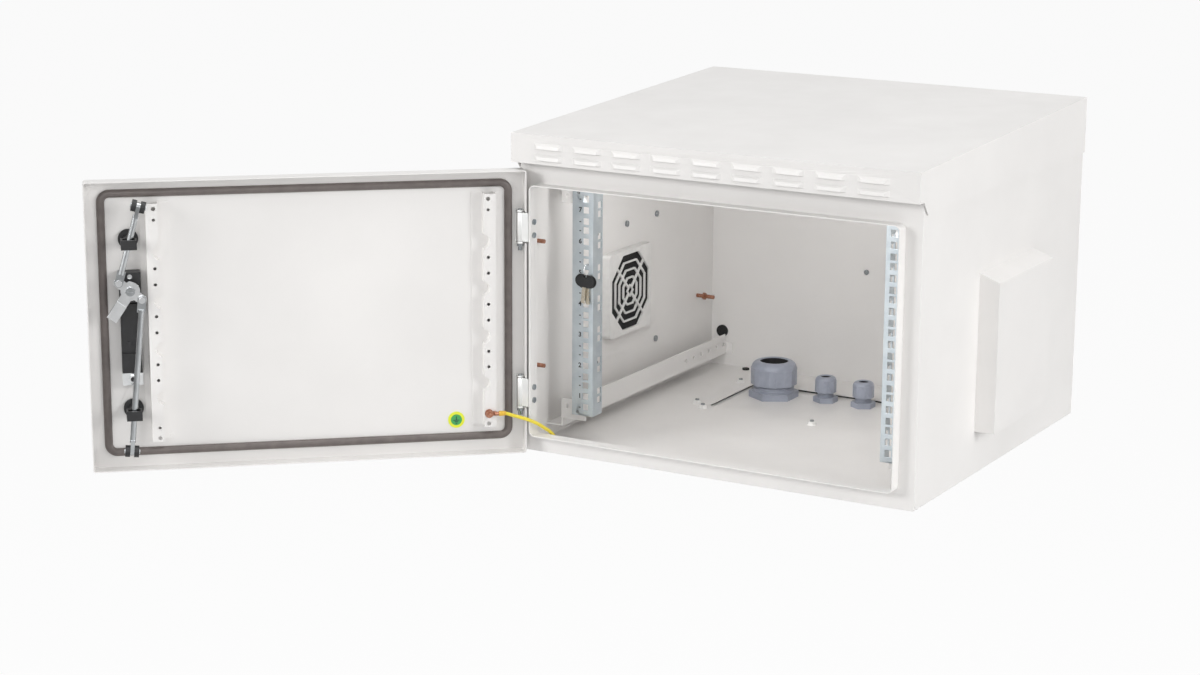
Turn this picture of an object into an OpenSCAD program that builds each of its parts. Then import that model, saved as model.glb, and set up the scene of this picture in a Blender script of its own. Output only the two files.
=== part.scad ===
// Wall-hung outdoor 19-inch cabinet with seven rack units, its door standing open.
// Drawn from the middle of the bottom front edge: +X to the right, +Y to the back, +Z up.
// The placed module then moves the origin to the middle of the four wall-fixing holes.

/* [Cabinet] */
// Width over the side walls
body_w = 600; // [580:1:640]
// Depth from front face to back face
body_d = 576; // [560:1:640]
// Height from floor to the plate under the roof
body_h = 412; // [408:1:440]
// Thickness of the folded sheet
sheet = 1.5; // [1:0.1:2]
// Radius of the long folded edges
fold_r = 3; // [2:0.5:5]
// Clear width of the door opening
opening_w = 548.8; // [520:0.2:552]
// Clear height of the door opening
opening_h = 353; // [340:0.5:356]
// Bottom of the clear opening above the floor
opening_z = 26.2; // [24:0.2:34]
// How far the collar stands ahead of the front face
collar_d = 18.6; // [15:0.1:19]
// Inside corner radius of the collar
collar_r = 6.5; // [4:0.5:10]

/* [Roof] */
// Gap between the roof skirt and the side wall
roof_gap = 1.5; // [1:0.1:4]
// How far the roof stands ahead of the front face
roof_front = 20; // [19.5:0.5:30]
// Height of the roof fascia
fascia_h = 40.6; // [36:0.2:60]
// Rise of the roof from front to back
roof_rise = 20.7; // [10:0.1:40]
// How far the side skirts hang below the fascia
skirt_drop = 18.7; // [8:0.1:26]
// Number of louvres in a row
louvre_count = 9; // [5:1:9]
// Width of one louvre
louvre_w = 45; // [30:1:50]
// Height of one louvre
louvre_h = 8; // [5:0.5:9]
// How far a louvre is pressed out
louvre_out = 3.4; // [2:0.1:5]
// Length of the sloping end of a louvre
louvre_ramp = 6.5; // [4:0.5:9]
// Distance between louvres
louvre_pitch = 60.2; // [55:0.1:62]
// Distance between the two louvre rows
louvre_row = 15.4; // [13:0.1:18]

/* [Side hoods] */
// Length of a hood along the wall
hood_l = 197; // [185:1:240]
// Height of a hood
hood_h = 220; // [200:1:260]
// Bottom of a hood above the floor
hood_z = 62; // [50:1:80]
// Distance from the front face to the middle of a hood
hood_y = 296.5; // [270:0.5:310]
// How far a hood stands out
hood_out = 28.7; // [28:0.1:40]
// Height of the sloping top of a hood
hood_slope = 11; // [5:1:20]
// Width of the flange that lies on the wall
hood_flange = 14; // [12:0.5:18]

/* [Fan and vents] */
// Size of the fan frame
fan_size = 120; // [110:1:124]
// Thickness of the fan
fan_t = 25; // [20:0.5:26]
// Distance from the front face to the fan axis
fan_y = 288; // [280:1:300]
// Height of the fan axis
fan_z = 174; // [165:1:185]
// Diameter of the air hole in the wall
air_d = 112; // [90:1:112]
// Size of the snap-on guard
guard_size = 126; // [124:1:135]
// How far the guard stands off the wall
guard_t = 13; // [10:0.5:18]
// Width across the octagonal guard field
guard_field = 112; // [100:1:114]
// Number of rings in the guard
guard_rings = 4; // [3:1:5]
// Number of fan blades
blade_count = 7; // [5:1:9]

/* [Rack] */
// Number of rack units
rack_units = 7; // [5:1:7]
// Distance between the hole columns
rack_holes = 465.1; // [460:0.1:470]
// Height of the lowest rack hole
rack_z = 53.7; // [50:0.1:56]
// Size of a square rack hole
rack_hole = 9.5; // [9:0.1:10]
// Distance from the front face to the rack rails
rack_y = 63.5; // [55:0.5:90]
// Width of the front flange of a rail
rail_w = 33.3; // [30:0.1:36]
// Depth of the side flange of a rail
rail_side = 27; // [24:0.5:34]
// Thickness of a rail
rail_t = 2; // [1.5:0.1:2.5]
// Height of the web of a runner
runner_h = 31.5; // [26:0.5:34]
// Distance from the side wall to a runner web
runner_gap = 25.5; // [20:0.5:28]

/* [Cable entry] */
// Width of the cable cut-out
entry_w = 360; // [340:1:370]
// Depth of the cable cut-out
entry_d = 156; // [140:1:160]
// Distance from the front face to the cable cut-out
entry_y = 340; // [330:1:350]
// Margin of the gland plate around the cut-out
entry_margin = 32; // [28:1:34]
// Thickness of the gland plate
plate_t = 2; // [1.5:0.1:3]
// Thickness of the gasket under the floor
plate_seal = 3; // [2:0.5:4]
// Thread diameter of the large gland
gland_big = 63; // [60:1:64]
// Thread diameter of the two small glands
gland_small = 25; // [24:1:28]
// Radius of the dome nut of the large gland
big_cap_r = 34.8; // [34:0.2:37]
// Radius of the dome nut of a small gland
small_cap_r = 16; // [15:0.2:18]

/* [Wall fixing] */
// Distance between the fixing holes across
fix_w = 558; // [550:1:560]
// Distance between the fixing holes up
fix_h = 300; // [290:1:304]
// Height of the lower fixing holes
fix_z = 56; // [54:1:70]
// Bore of the grommet in each fixing hole
fix_bore = 9; // [7:0.5:10]

/* [Door] */
// Angle at which the door stands open
door_open = 139.2; // [100:0.1:160]
// Width of the door
door_w = 596; // [592:1:596]
// Height of the door
door_h = 399.7; // [395:0.1:402]
// Bottom of the door above the floor
door_z = 1.3; // [1:0.1:4]
// Depth of the folded door edge
door_edge = 23; // [20:0.5:23]
// Distance from the front face to the outside of the door
door_front = 27; // [27:0.1:30]
// Width of the door gasket
seal_w = 11; // [9:0.5:12]
// Height of the door gasket
seal_h = 6.6; // [5:0.1:6.7]
// Height of a door stiffener off the sheet
stiff_h = 18; // [12:0.5:20]
// Width of the raised part of a door stiffener
stiff_w = 16.5; // [15:0.5:18]
// Length of a door stiffener
stiff_l = 329.5; // [326:0.5:332]
// Height of a hinge
hinge_h = 48; // [46:1:54]
// Bottom of the lower hinge
hinge_low = 63; // [56:1:70]
// Bottom of the upper hinge
hinge_high = 297; // [285:1:300]
// Diameter of a hinge pin
pin_d = 6; // [5:0.5:6.5]

/* [Lock] */
// Angle by which the handle and cam are turned back
latch_turn = 59.5; // [45:0.5:60]
// Angle by which the handle is lifted
handle_lift = 22; // [18:1:30]
// Distance of the spindle from the middle of the door
lock_x = 240.5; // [239.5:0.5:241.5]
// Height of the spindle
lock_z = 254.5; // [254:0.5:256]
// Distance from spindle to a rod pivot on the cam
cam_r = 19; // [18:0.1:19]
// Diameter of a lock rod
rod_d = 8; // [6:0.5:8]
// Length of the upper rod between pivot and roller
rod_up = 108; // [106:0.5:108]
// Length of the lower rod between pivot and roller
rod_down = 209; // [207:0.5:209]
// Diameter of a roller
roller_d = 16; // [14:0.5:16]
// Length of the handle lever from its pin
lever_l = 130; // [120:1:134]
// Thickness of the handle lever
lever_t = 12; // [12:0.5:14]
// Width of the handle lever
lever_w = 26; // [25:0.5:27]

/* [Hidden] */
$fn = 48;

// Small gap between parts that only lie in each other
slack = 0.2;
// Radial gap of a turning fit
run_gap = 0.05;
// Overlap used where a cut runs past a face
past = 1;
// Depth by which joined shapes of one piece sink into each other
weld = 0.5;

inner_w = body_w / 2 - sheet;
opening_x = opening_w / 2;
opening_top = opening_z + opening_h;
collar_out = opening_x + sheet;
roof_x = body_w / 2 + roof_gap + sheet;
roof_low = body_h - 1.3;
roof_front_top = roof_low + fascia_h;
roof_top = roof_front_top + roof_rise;
roof_end = body_d - 1;
skirt_z = roof_low - skirt_drop;
roof_slope = atan(roof_rise / (roof_end + roof_front));
louvre_z = roof_low + 9.8;
hang_z = fix_z + fix_h / 2;
rack_pitch = 44.45;
rack_steps = [0, 15.875, 31.75];
rack_mid = rack_z + rack_pitch * rack_units / 2 - 6.35;
hole_x = rack_holes / 2;
rail_in = hole_x - 11.55;
rail_out = rail_in + rail_w;
rail_low = rack_z - 12.7;
rail_h = rack_pitch * rack_units + 12.7;
runner_x = inner_w - runner_gap;
runner_low = rack_z - 32.7;
runner_y = rack_y + rail_t;
bolt_x = rail_in + 24;
bolt_low = rail_low + 4.5;
entry_mid = entry_y + entry_d / 2;
plate_w = entry_w + 2 * entry_margin;
plate_d = entry_d + 2 * entry_margin;
plate_top = -plate_seal;
plate_low = -plate_seal - plate_t;
entry_bolts = [for (sx = [-1, 1], p = [[200, -77], [180, -97], [200, 66], [180, 97]])
    [sx * (p[0] + (entry_w - 360) / 2), entry_mid + p[1] + sign(p[1]) * (entry_d - 156) / 2]];
entry_screws = concat(entry_bolts, [[0, entry_y - 21]]);
big_at = [-128, entry_mid + 34];
small_at = [[-48, entry_mid + 48], [14, entry_mid + 48]];
door_x = door_w / 2;
door_top = door_z + door_h;
door_in = -door_front + sheet;
seal_x = opening_x + 1.2;
seal_low = opening_z - 2.2;
seal_top = opening_top + 2.8;
pivot_x = -door_x + 7;
pivot_y = -door_front + 11;
hinge_z = [hinge_low, hinge_high];
knuckle_r = 5;
ear_t = 3;
arm_low = 3.8;
pin_tail = 9;
screw_levels = [hinge_h / 2 - 11.8, hinge_h / 2 + 6.8];
stiff_z = 40;
stiff_top = door_in + stiff_h;
stiff_foot = 15;
hole_in = 10.5;
hole_levels = [5.2, 19.8, 86.3, 108.3, 152.6, 175, 218.8, 241, 307.3, 322.5];
notch_levels = [62, 129.4, 196.1, 262.7];
notch_r = 10.8;
rod_y = 12.5;
cam_y = 5;
cam_t = 3;
tab_y = cam_y + cam_t + slack + 0.2;
tab_t = 3;
up_at = 38.5;
down_at = 218.5;
up_lean = 15.5;
down_lean = 5.41;
guide_x = lock_x;
guide_levels = [320, 85.3];
dish_y = -door_front - 8;
lever_y = dish_y - slack - 0.3;
lever_pin_y = lever_y - lever_t / 2;
head_w = 18;
cylinder_at = 112;
tongue_at = 4;
tongue_l = 46;
tongue_w = 15;
box_w = 26;
lead_r = 2.5;
barrel_up = 3;
lead_sides = 10;
lead_stud = [-236, 42];
lead_turn = 30;
disc_at = [-202, 48];
door_stud = [-256 + hole_in, stiff_z + hole_levels[1]];
// Route of the earth lead from the door terminal to the floor terminal
lead_path = [[-305.2, -43.7, 59.8], [-302.2, -41.1, 59.8], [-298.5, -37.8, 58.8], [-291.5, -33, 56],
    [-282.5, -28.5, 53.5], [-273.5, -24, 50.5], [-267, -18, 46.5], [-262.5, -11, 41.5], [-259, -4, 36],
    [-256.5, 3, 31], [-254.3, 8.5, 25.6], [-252.3, 13.2, 19.6], [-250.2, 17.4, 13.2], [-248.3, 20.8, 8.6],
    [-245.8, 25.1, 7], [-244.5, 27.3, 7]];

white = [0.92, 0.92, 0.9];
zinc = [0.72, 0.74, 0.76];
black = [0.1, 0.1, 0.11];
dark_rubber = [0.42, 0.39, 0.37];
gland_grey = [0.45, 0.5, 0.55];
pale_grey = [0.82, 0.81, 0.79];
brass = [0.78, 0.62, 0.32];
copper = [0.75, 0.48, 0.33];
steel = [0.66, 0.67, 0.68];

// Moves the whole model to its wall-fixing origin
module placed() {
    translate([0, -body_d, -hang_z]) children();
}

// Turns a piece of the door to its open position
module on_door() {
    placed() translate([pivot_x, pivot_y, 0]) rotate([0, 0, -door_open])
        translate([-pivot_x, -pivot_y, 0]) children();
}

// Turns a piece of the latch about the spindle, from locked to open
module on_latch() {
    on_door() translate([lock_x, 0, lock_z]) rotate([0, latch_turn, 0]) children();
}

// Points of a rectangle with rounded corners
function round_rect(w, h, r, n = 5) = [
    for (c = [[1, 1, 0], [-1, 1, 90], [-1, -1, 180], [1, -1, 270]], i = [0 : n])
        [c[0] * (w / 2 - r) + r * cos(c[2] + 90 * i / n),
         c[1] * (h / 2 - r) + r * sin(c[2] + 90 * i / n)]];

// Plate standing in the X-Z plane, from y to y + t
module upright(y, t) {
    translate([0, y + t, 0]) rotate([90, 0, 0]) linear_extrude(t) children();
}

// Outline drawn in Y-Z and drawn out along X from x to x + l
module along_x(x, l) {
    translate([x, 0, 0]) rotate([90, 0, 90]) linear_extrude(l) children();
}

// Round bar along Y from y to y + l
module bar_y(x, y, z, r, l) {
    translate([x, y, z]) rotate([-90, 0, 0]) cylinder(r = r, h = l);
}

// Round bar along X from x to x + l
module bar_x(x, y, z, r, l) {
    translate([x, y, z]) rotate([0, 90, 0]) cylinder(r = r, h = l);
}

// Ring in an upright frame between two rounded rectangles, with its low and high edges
module upright_frame(y, t, x_out, low, high, r_out, wall) {
    translate([0, 0, (low + high) / 2]) upright(y, t) difference() {
        polygon(round_rect(2 * x_out, high - low, r_out));
        polygon(round_rect(2 * (x_out - wall), high - low - 2 * wall, max(r_out - wall, 0.5)));
    }
}

// Places of the air hole and its screws on a side wall
module at_fan_corners() {
    for (y = [-1, 1], z = [-1, 1]) translate([0, fan_y + y * 52.5, fan_z + z * 52.5]) children();
}

// Places of the screws of one hood, as Y and Z
hood_mid = hood_flange / 2;
hood_spots = [[hood_y - hood_l / 2 + hood_mid, hood_z + hood_h - 10], [hood_y, hood_z + hood_h - 10],
    [hood_y + hood_l / 2 - hood_mid, hood_z + hood_h - 10], [hood_y - hood_l / 2 + hood_mid, hood_z + 17.5],
    [hood_y + hood_l / 2 - hood_mid, hood_z + 17.5]];
hood_screw_r = 2.5;

// Folded body: four walls, back, floor, front frame and the collar round the opening
module cabinet_body() {
    color(white) placed() difference() {
        union() {
            difference() {
                translate([0, 0, body_h / 2]) upright(0, body_d)
                    polygon(round_rect(body_w, body_h, fold_r, 3));
                translate([0, 0, body_h / 2]) upright(sheet, body_d - 2 * sheet)
                    polygon(round_rect(body_w - 2 * sheet, body_h - 2 * sheet, fold_r - sheet / 2, 3));
            }
            upright_frame(-collar_d, collar_d + sheet, collar_out, opening_z - sheet,
                opening_top + sheet, collar_r + sheet, sheet);
        }
        translate([0, 0, (opening_z + opening_top) / 2]) upright(-past, sheet + 2 * past)
            polygon(round_rect(opening_w, opening_h, collar_r));
        for (side = [-1, 1]) {
            bar_x(side * body_w / 2 - 5, fan_y, fan_z, air_d / 2, 10);
            translate([side * body_w / 2 - 5, 0, 0]) at_fan_corners() bar_x(0, 0, 0, 2.2, 10);
            for (p = hood_spots) bar_x(side * body_w / 2 - 5, p[0], p[1], hood_screw_r + slack, 10);
            for (z = hinge_z, dz = screw_levels) if (side < 0)
                bar_x(-collar_out - past, pivot_y + 8, z + dz, 2 + slack, sheet + 2 * past);
        }
        translate([0, entry_mid, -past]) linear_extrude(sheet + 2 * past)
            polygon(round_rect(entry_w, entry_d, 6));
        for (p = entry_screws) translate([p[0], p[1], -past]) cylinder(r = 3 + slack, h = sheet + 2 * past);
        for (x = [-1, 1], z = [0, 1])
            bar_y(x * fix_w / 2, body_d - sheet - past, fix_z + z * fix_h, 7, sheet + 2 * past);
        translate([-231, body_d - 14, -past]) cylinder(r = 4, h = sheet + 2 * past);
        bar_y(-34.6, body_d - sheet - past, fix_z + 121, 2 + slack, sheet + 2 * past);
    }
}

// Outline of the roof in Y-Z, drawn in by a wall thickness
function roof_outline(t, low) = [[-roof_front + t, low], [-roof_front + t, roof_front_top - t],
    [roof_end - t, roof_top - t], [roof_end - t, low]];

// Sloping rain roof with a fascia, side skirts and a low back edge
module rain_roof() {
    color(white) placed() difference() {
        union() {
            difference() {
                along_x(-roof_x, 2 * roof_x) polygon([[-roof_front, roof_low], [-roof_front, roof_front_top],
                    [roof_end, roof_top], [roof_end, skirt_z], [9, skirt_z], [-6, roof_low]]);
                along_x(-roof_x + sheet, 2 * roof_x - 2 * sheet) polygon(roof_outline(sheet, roof_low - 30));
                translate([-roof_x + sheet, 100, skirt_z - past])
                    cube([2 * roof_x - 2 * sheet, body_d, body_h - skirt_z + past]);
            }
            at_louvres() louvre_shape(false);
        }
        at_louvres() louvre_shape(true);
    }
}

// One pressed louvre with sloping ends, or with cut set the hollow under it and the slot behind
module louvre_shape(cut) {
    wall = cut ? 1 : 0;
    back = cut ? sheet + past : weld;
    low = -louvre_h / 2 - wall * 0.3;
    half = louvre_w / 2;
    intersection() {
        along_x(-half, louvre_w) polygon([[back, low], [back, louvre_h / 2 - wall * 1.4],
            [0, louvre_h / 2 - wall * 1.4], [-louvre_out * 0.72 + wall, louvre_h * 0.12],
            [-louvre_out + wall, low + 0.9], [-louvre_out + wall, low]]);
        translate([0, 0, -louvre_h]) linear_extrude(2 * louvre_h) polygon([[-half + 2 * wall, back],
            [-half + 2 * wall, 0], [-half + louvre_ramp + wall, -louvre_out],
            [half - louvre_ramp - wall, -louvre_out], [half - 2 * wall, 0], [half - 2 * wall, back]]);
    }
}

// Calls its children at the middle of each louvre
module at_louvres() {
    for (i = [0 : louvre_count - 1], row = [0, 1])
        translate([(i - (louvre_count - 1) / 2) * louvre_pitch - 3.2, -roof_front, louvre_z + row * louvre_row])
            children();
}

// Two folded strips that carry the roof on the body
module roof_brackets() {
    color(white) placed() for (side = [-1, 1]) mirror([side < 0 ? 1 : 0, 0, 0]) {
        strip_y = [40, body_d - 60];
        top_z = [for (y = strip_y) roof_low + fascia_h - sheet + (y + roof_front) * tan(roof_slope) - slack];
        along_x(200, 2) polygon([[strip_y[0], body_h], [strip_y[0], top_z[0]],
            [strip_y[1], top_z[1]], [strip_y[1], body_h]]);
        translate([200, strip_y[0], body_h]) cube([26, strip_y[1] - strip_y[0], 2]);
        along_x(200, 26) polygon([[strip_y[0], top_z[0] - 2], [strip_y[0], top_z[0]],
            [strip_y[1], top_z[1]], [strip_y[1], top_z[1] - 2]]);
    }
}

// Rain hood over the air hole of one side wall, drawn on the right
module hood() {
    x0 = body_w / 2;
    y0 = hood_y - hood_l / 2;
    top = hood_z + hood_h;
    difference() {
        union() {
            difference() {
                translate([0, y0 + hood_l, 0]) rotate([90, 0, 0]) linear_extrude(hood_l)
                    polygon([[x0, hood_z], [x0 + hood_out, hood_z], [x0 + hood_out, top - hood_slope], [x0, top]]);
                translate([0, y0 + hood_l - sheet, 0]) rotate([90, 0, 0]) linear_extrude(hood_l - 2 * sheet)
                    polygon([[x0 - past, hood_z - past], [x0 + hood_out - sheet, hood_z - past],
                        [x0 + hood_out - sheet, top - hood_slope - sheet * 0.8], [x0, top - sheet],
                        [x0 - past, top - sheet]]);
            }
            for (y = [y0 + sheet - weld, y0 + hood_l - hood_flange]) translate([x0, y, hood_z])
                cube([sheet, hood_flange + weld - sheet, hood_h - 4]);
            translate([x0, y0 + sheet - weld, top - 20]) cube([sheet, hood_l - 2 * sheet + 2 * weld, 18]);
        }
        for (p = hood_spots) bar_x(x0 - past, p[0], p[1], hood_screw_r + slack, sheet + 2 * past);
    }
}

module right_hood() {
    color(white) placed() hood();
}

module left_hood() {
    color(white) placed() mirror([1, 0, 0]) hood();
}

// Screw with a low round head inside the wall and a nut on the hood flange
module wall_screw(side, y, z) {
    x_in = inner_w;
    mirror([side < 0 ? 1 : 0, 0, 0]) {
        bar_x(x_in - 2.4, y, z, 4.6, 2.4);
        bar_x(x_in - weld, y, z, hood_screw_r, 2 * sheet + weld + 1);
        translate([x_in + 2 * sheet, y, z]) rotate([0, 90, 0]) cylinder(r = 4.6, h = 4, $fn = 6);
    }
}

// Screws of both hoods and the single screw of the back wall
module wall_screws() {
    color(steel) placed() {
        for (side = [-1, 1], p = hood_spots) wall_screw(side, p[0], p[1]);
        bar_y(-34.6, body_d - sheet - 2.2, fix_z + 121, 4, 2.2);
        bar_y(-34.6, body_d - sheet - weld, fix_z + 121, 2, sheet + weld);
    }
}

// Square fan frame outside the left wall, with struts that carry the motor
module fan_frame() {
    x_out = -body_w / 2 - fan_t;
    color(black) placed() difference() {
        union() {
            difference() {
                translate([x_out, fan_y, fan_z]) rotate([90, 0, 90]) linear_extrude(fan_t)
                    polygon(round_rect(fan_size, fan_size, 6));
                bar_x(x_out - past, fan_y, fan_z, air_d / 2, fan_t + 2 * past);
            }
            for (a = [45 : 90 : 315]) translate([x_out, fan_y, fan_z]) rotate([a, 0, 0])
                translate([0, -2, 14]) cube([3, 4, air_d / 2 - 12]);
            bar_x(x_out, fan_y, fan_z, 18, 4);
            bar_x(x_out + 4 - weld, fan_y, fan_z, 2, fan_t - 8);
        }
        at_fan_corners() bar_x(x_out - past, 0, 0, 2.2, fan_t + 2 * past);
    }
}

// Hub with blades that turns on the fan shaft
module fan_rotor() {
    x_hub = -body_w / 2 - fan_t + 4.5;
    hub_l = fan_t - 6.5;
    color(black) placed() translate([x_hub, fan_y, fan_z]) difference() {
        union() {
            bar_x(0, 0, 0, 19, hub_l);
            intersection() {
                bar_x(0.5, 0, 0, air_d / 2 - 1.5, hub_l - 1);
                for (k = [0 : blade_count - 1]) rotate([k * 360 / blade_count, 0, 0])
                    translate([hub_l / 2, 0, 36]) rotate([0, 0, 52]) cube([2, 40, 44], center = true);
            }
        }
        bar_x(-past, 0, 0, 2 + run_gap, fan_t - 7.5);
    }
}

module fan_screws() {
    color(steel) placed() {
        at_fan_corners() {
            bar_x(-inner_w - weld - sheet - fan_t, 0, 0, 2, fan_t + sheet + weld);
            bar_x(-inner_w - sheet - fan_t - 1.6, 0, 0, 3.8, 1.6);
        }
        at_fan_corners() {
            bar_x(inner_w - weld, 0, 0, 2, sheet + weld);
            bar_x(inner_w + sheet, 0, 0, 3.8, 1.6);
        }
    }
}

// Octagon with a given width across flats, standing on a flat
module octagon(across) {
    rotate(22.5) circle(r = across / 2 / cos(22.5), $fn = 8);
}

// Snap-on guard: a frame, octagonal rings, two diagonals and a small diamond
module guard() {
    rib = 2.4;
    ring_step = guard_field / (2 * guard_rings + 1.3);
    difference() {
        linear_extrude(guard_t) polygon(round_rect(guard_size, guard_size, 7));
        translate([0, 0, -past]) linear_extrude(guard_t - 3 + past)
            polygon(round_rect(guard_size - 5, guard_size - 5, 5));
        translate([0, 0, guard_t - 4]) linear_extrude(4 + past) octagon(guard_field);
    }
    translate([0, 0, guard_t - 3]) linear_extrude(2.6) {
        for (i = [1 : guard_rings - 1]) difference() {
            octagon(guard_field - 2 * ring_step * i + rib);
            octagon(guard_field - 2 * ring_step * i - rib);
        }
        difference() {
            circle(r = ring_step * 0.8, $fn = 4);
            circle(r = ring_step * 0.8 - rib, $fn = 4);
        }
        intersection() {
            octagon(guard_field + 2);
            difference() {
                for (a = [45, 135]) rotate(a) square([2 * guard_size, rib + 0.6], center = true);
                circle(r = ring_step * 0.7, $fn = 4);
            }
        }
    }
    for (y = [-1, 1], z = [-1, 1]) translate([y * 52.5, z * 52.5, 0]) difference() {
        cylinder(r = 5, h = guard_t - 3 + weld);
        translate([0, 0, -past]) cylinder(r = 2 + slack, h = 5);
    }
}

module fan_guard() {
    color(pale_grey) placed() translate([-inner_w, fan_y, fan_z]) rotate([90, 0, 90]) guard();
}

module vent_guard() {
    color(pale_grey) placed() mirror([1, 0, 0]) translate([-inner_w, fan_y, fan_z]) rotate([90, 0, 90]) guard();
}

// Foam filter pad behind a guard
module filter() {
    linear_extrude(guard_t - 3 - slack) difference() {
        polygon(round_rect(guard_size - 6, guard_size - 6, 4.5));
        for (y = [-1, 1], z = [-1, 1]) translate([y * 52.5, z * 52.5]) circle(r = 5.4);
    }
}

module fan_filter() {
    color(black) placed() translate([-inner_w, fan_y, fan_z]) rotate([90, 0, 90]) filter();
}

module vent_filter() {
    color(black) placed() mirror([1, 0, 0]) translate([-inner_w, fan_y, fan_z]) rotate([90, 0, 90]) filter();
}

// Holes of the gland plate screws
module entry_holes(z, h, r) {
    for (p = entry_screws) translate([p[0], p[1], z]) cylinder(r = r, h = h);
}

// Plate under the floor that carries the glands
module gland_plate() {
    color(white) placed() difference() {
        translate([0, entry_mid, plate_low]) linear_extrude(plate_t) polygon(round_rect(plate_w, plate_d, 8));
        entry_holes(plate_low - past, plate_t + 2 * past, 3 + slack);
        translate([big_at[0], big_at[1], plate_low - past])
            cylinder(r = gland_big / 2 + slack, h = plate_t + 2 * past);
        for (p = small_at) translate([p[0], p[1], plate_low - past])
            cylinder(r = gland_small / 2 + slack, h = plate_t + 2 * past);
    }
}

// Frame gasket between floor and gland plate
module gland_plate_gasket() {
    color(black) placed() difference() {
        translate([0, entry_mid, -plate_seal]) linear_extrude(plate_seal) difference() {
            polygon(round_rect(plate_w, plate_d, 8));
            polygon(round_rect(entry_w + 6, entry_d + 6, 6));
        }
        entry_holes(-plate_seal - past, plate_seal + 2 * past, 3 + slack);
    }
}

module gland_plate_screws() {
    color(steel) placed() for (p = entry_screws) translate([p[0], p[1], plate_low - 2.5]) {
        cylinder(r = 5, h = 2.5);
        translate([0, 0, 2.5 - weld]) cylinder(r = 3, h = plate_t + plate_seal + sheet + 7 + weld);
    }
}

module gland_plate_nuts() {
    color(white) placed() for (p = entry_screws) translate([p[0], p[1], sheet]) difference() {
        union() {
            cylinder(r = 6, h = 5.2, $fn = 6);
            cylinder(r = 7, h = 1);
        }
        translate([0, 0, -past]) cylinder(r = 3 + slack, h = 8);
    }
}

// Lower half of a cable gland: hexagon on the plate, thread through it, and a ridged neck above
module gland_body(d, hex_r, hex_h, up, free) {
    neck_r = d / 2 - 0.5;
    neck_z = plate_top + hex_h;
    pitch = (free - neck_z) / ridges;
    difference() {
        union() {
            translate([0, 0, plate_top]) rotate(30) cylinder(r = hex_r, h = hex_h, $fn = 6);
            translate([0, 0, plate_low - 10]) cylinder(r = d / 2, h = plate_t + 10 + weld);
            translate([0, 0, neck_z - weld]) cylinder(r = neck_r, h = up);
        }
        translate([0, 0, plate_low - 10 - past]) cylinder(r = d * 0.35, h = up + 40);
        rotate_extrude() for (i = [0 : ridges - 1])
            polygon([[neck_r - pitch * 0.45, neck_z + pitch * (i + 0.5)], [neck_r + past, neck_z + pitch * i],
                [neck_r + past, neck_z + pitch * (i + 1)]]);
    }
}

// Dome nut: a round body with eight flats, a quarter-round shoulder and a round opening
module gland_cap(d, cap_r, dome_h, low, high, bore) {
    flat_r = cap_r - cap_r * 0.026;
    difference() {
        union() {
            intersection() {
                translate([0, 0, low]) cylinder(r = cap_r, h = high - low - dome_h);
                translate([0, 0, low]) linear_extrude(high - low) octagon(2 * flat_r);
            }
            translate([0, 0, high - dome_h]) rotate_extrude() intersection() {
                square([flat_r, dome_h]);
                union() {
                    square([flat_r - dome_h, dome_h]);
                    translate([flat_r - dome_h, 0]) circle(r = dome_h);
                }
            }
        }
        translate([0, 0, low - past]) cylinder(r = d / 2 - 0.5 + slack, h = (high - low) * 0.66 + past);
        translate([0, 0, low]) cylinder(r = bore + 1.6, h = high);
    }
}

// Rubber sleeve in a gland, with the bore that grips a cable
module gland_seal(d, low, high, bore) {
    difference() {
        translate([0, 0, low]) cylinder(r = bore + 1.4, h = high - low);
        translate([0, 0, low - past]) cylinder(r = bore, h = high - low + 2 * past);
    }
}

module gland_locknut(d) {
    translate([0, 0, plate_low - 6]) difference() {
        cylinder(r = d * 0.6, h = 6, $fn = 6);
        translate([0, 0, -past]) cylinder(r = d / 2 + slack, h = 8);
    }
}

ridges = 4;
big_hex = 10;
big_hex_r = 38;
big_cap = [18, 53];
big_dome = 10.5;
big_bore = gland_big * 0.35 - 2;
small_hex = 8;
small_hex_r = 18.8;
small_cap = [12.5, 36];
small_dome = 6;
small_bore = gland_small * 0.35 - 2.25;

module at_big() {
    placed() translate([big_at[0], big_at[1], 0]) children();
}

module at_small() {
    placed() for (p = small_at) translate([p[0], p[1], 0]) children();
}

module large_gland_body() {
    color(gland_grey) at_big() gland_body(gland_big, big_hex_r, big_hex, 26, big_cap[0]);
}

module large_gland_cap() {
    color(gland_grey) at_big() gland_cap(gland_big, big_cap_r, big_dome, big_cap[0], big_cap[1], big_bore);
}

module large_gland_seal() {
    color(black) at_big() gland_seal(gland_big, big_cap[0] + 2, big_cap[1] - 1.5, big_bore);
}

module large_gland_locknut() {
    color(gland_grey) at_big() gland_locknut(gland_big);
}

module small_gland_bodies() {
    color(gland_grey) at_small() gland_body(gland_small, small_hex_r, small_hex, 18, small_cap[0]);
}

module small_gland_caps() {
    color(gland_grey) at_small()
        gland_cap(gland_small, small_cap_r, small_dome, small_cap[0], small_cap[1], small_bore);
}

module small_gland_seals() {
    color(black) at_small() gland_seal(gland_small, small_cap[0] + 2, small_cap[1] - 1.5, small_bore);
}

module small_gland_locknuts() {
    color(gland_grey) at_small() gland_locknut(gland_small);
}

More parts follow.
